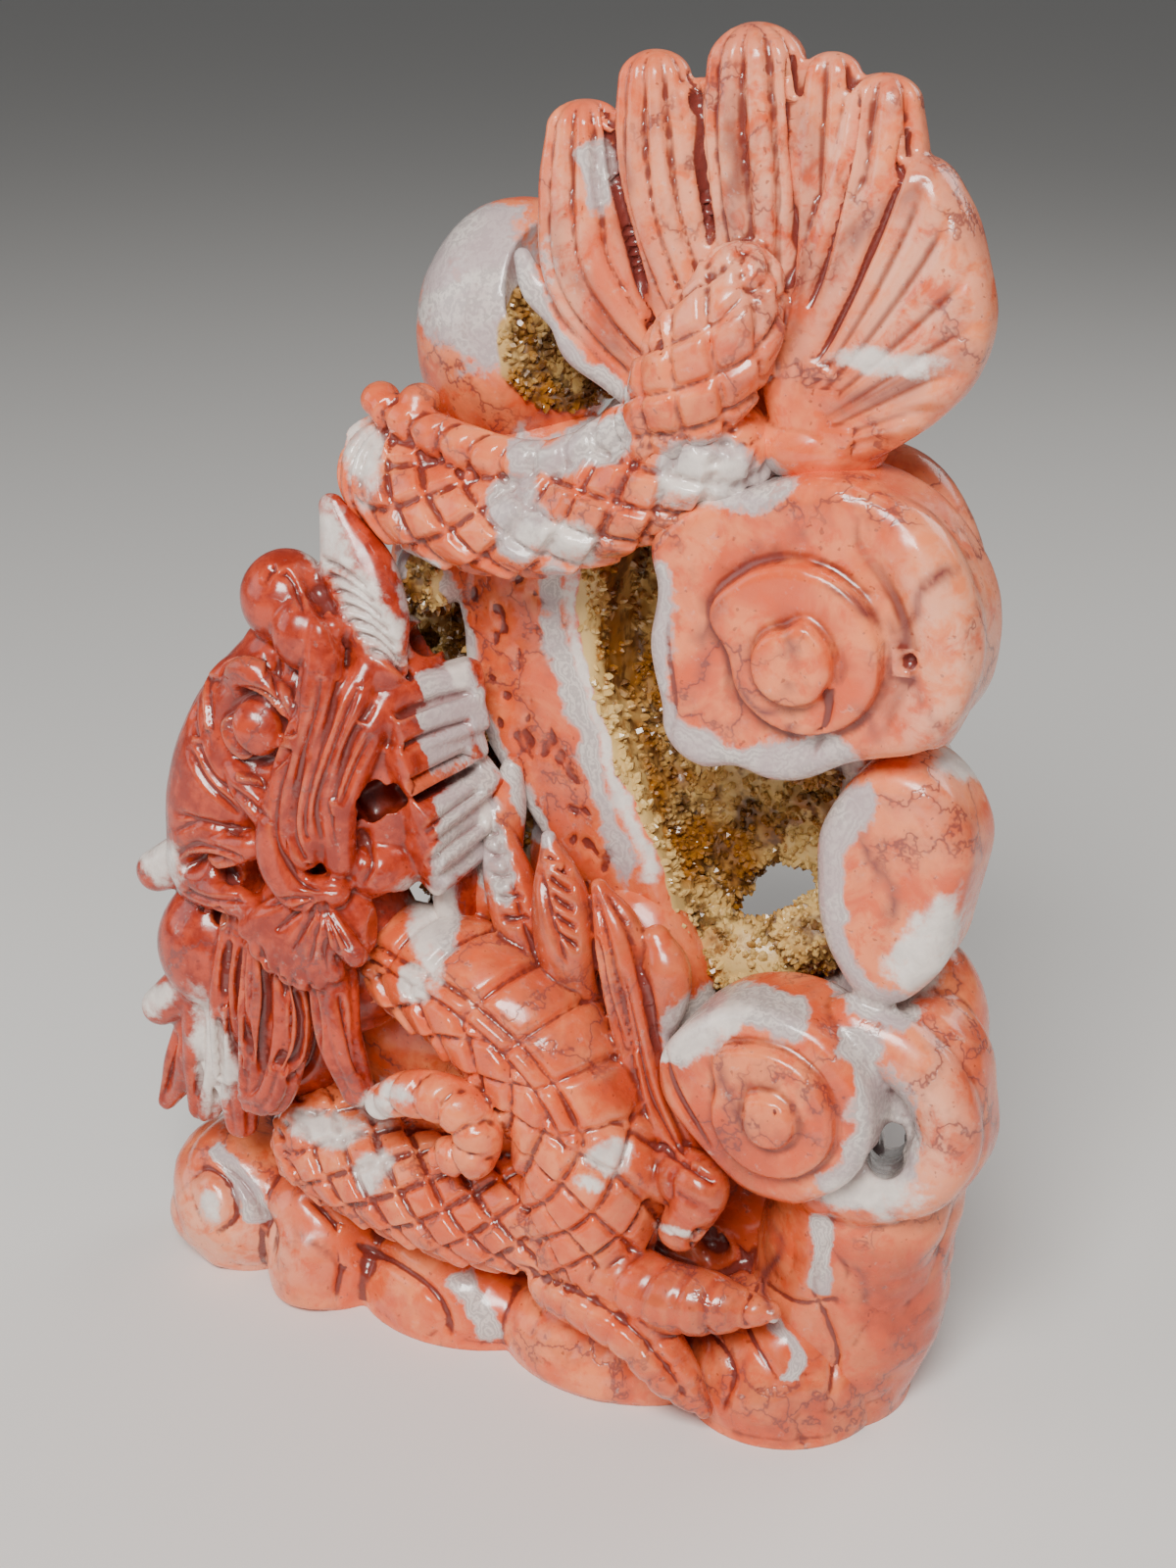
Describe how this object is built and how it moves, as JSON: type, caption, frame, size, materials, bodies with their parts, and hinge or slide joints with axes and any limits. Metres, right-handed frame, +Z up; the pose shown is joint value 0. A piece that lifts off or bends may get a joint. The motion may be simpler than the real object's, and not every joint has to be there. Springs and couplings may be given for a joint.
{
  "type": "carved stone dragon statue",
  "caption": "Polished agate carving: a geode slab with a maned dragon's head, scaled coils, a clawed foot, a fluted tail fan and swirl clouds, on its own rock base",
  "frame": {"origin": "on the underside, near the middle of its footprint", "axes": "+X to the viewer's right across the front, +Y from the front to the back, +Z up"},
  "size_m": [0.1241, 0.0483, 0.1781],
  "materials": {
    "agate": "polished salmon and brick-red banded agate with grey and white chalcedony edges and rough brown crystal hollows"
  },
  "bodies": {
    "root": {"dragon_carving": "agate"}
  },
  "joints": []
}
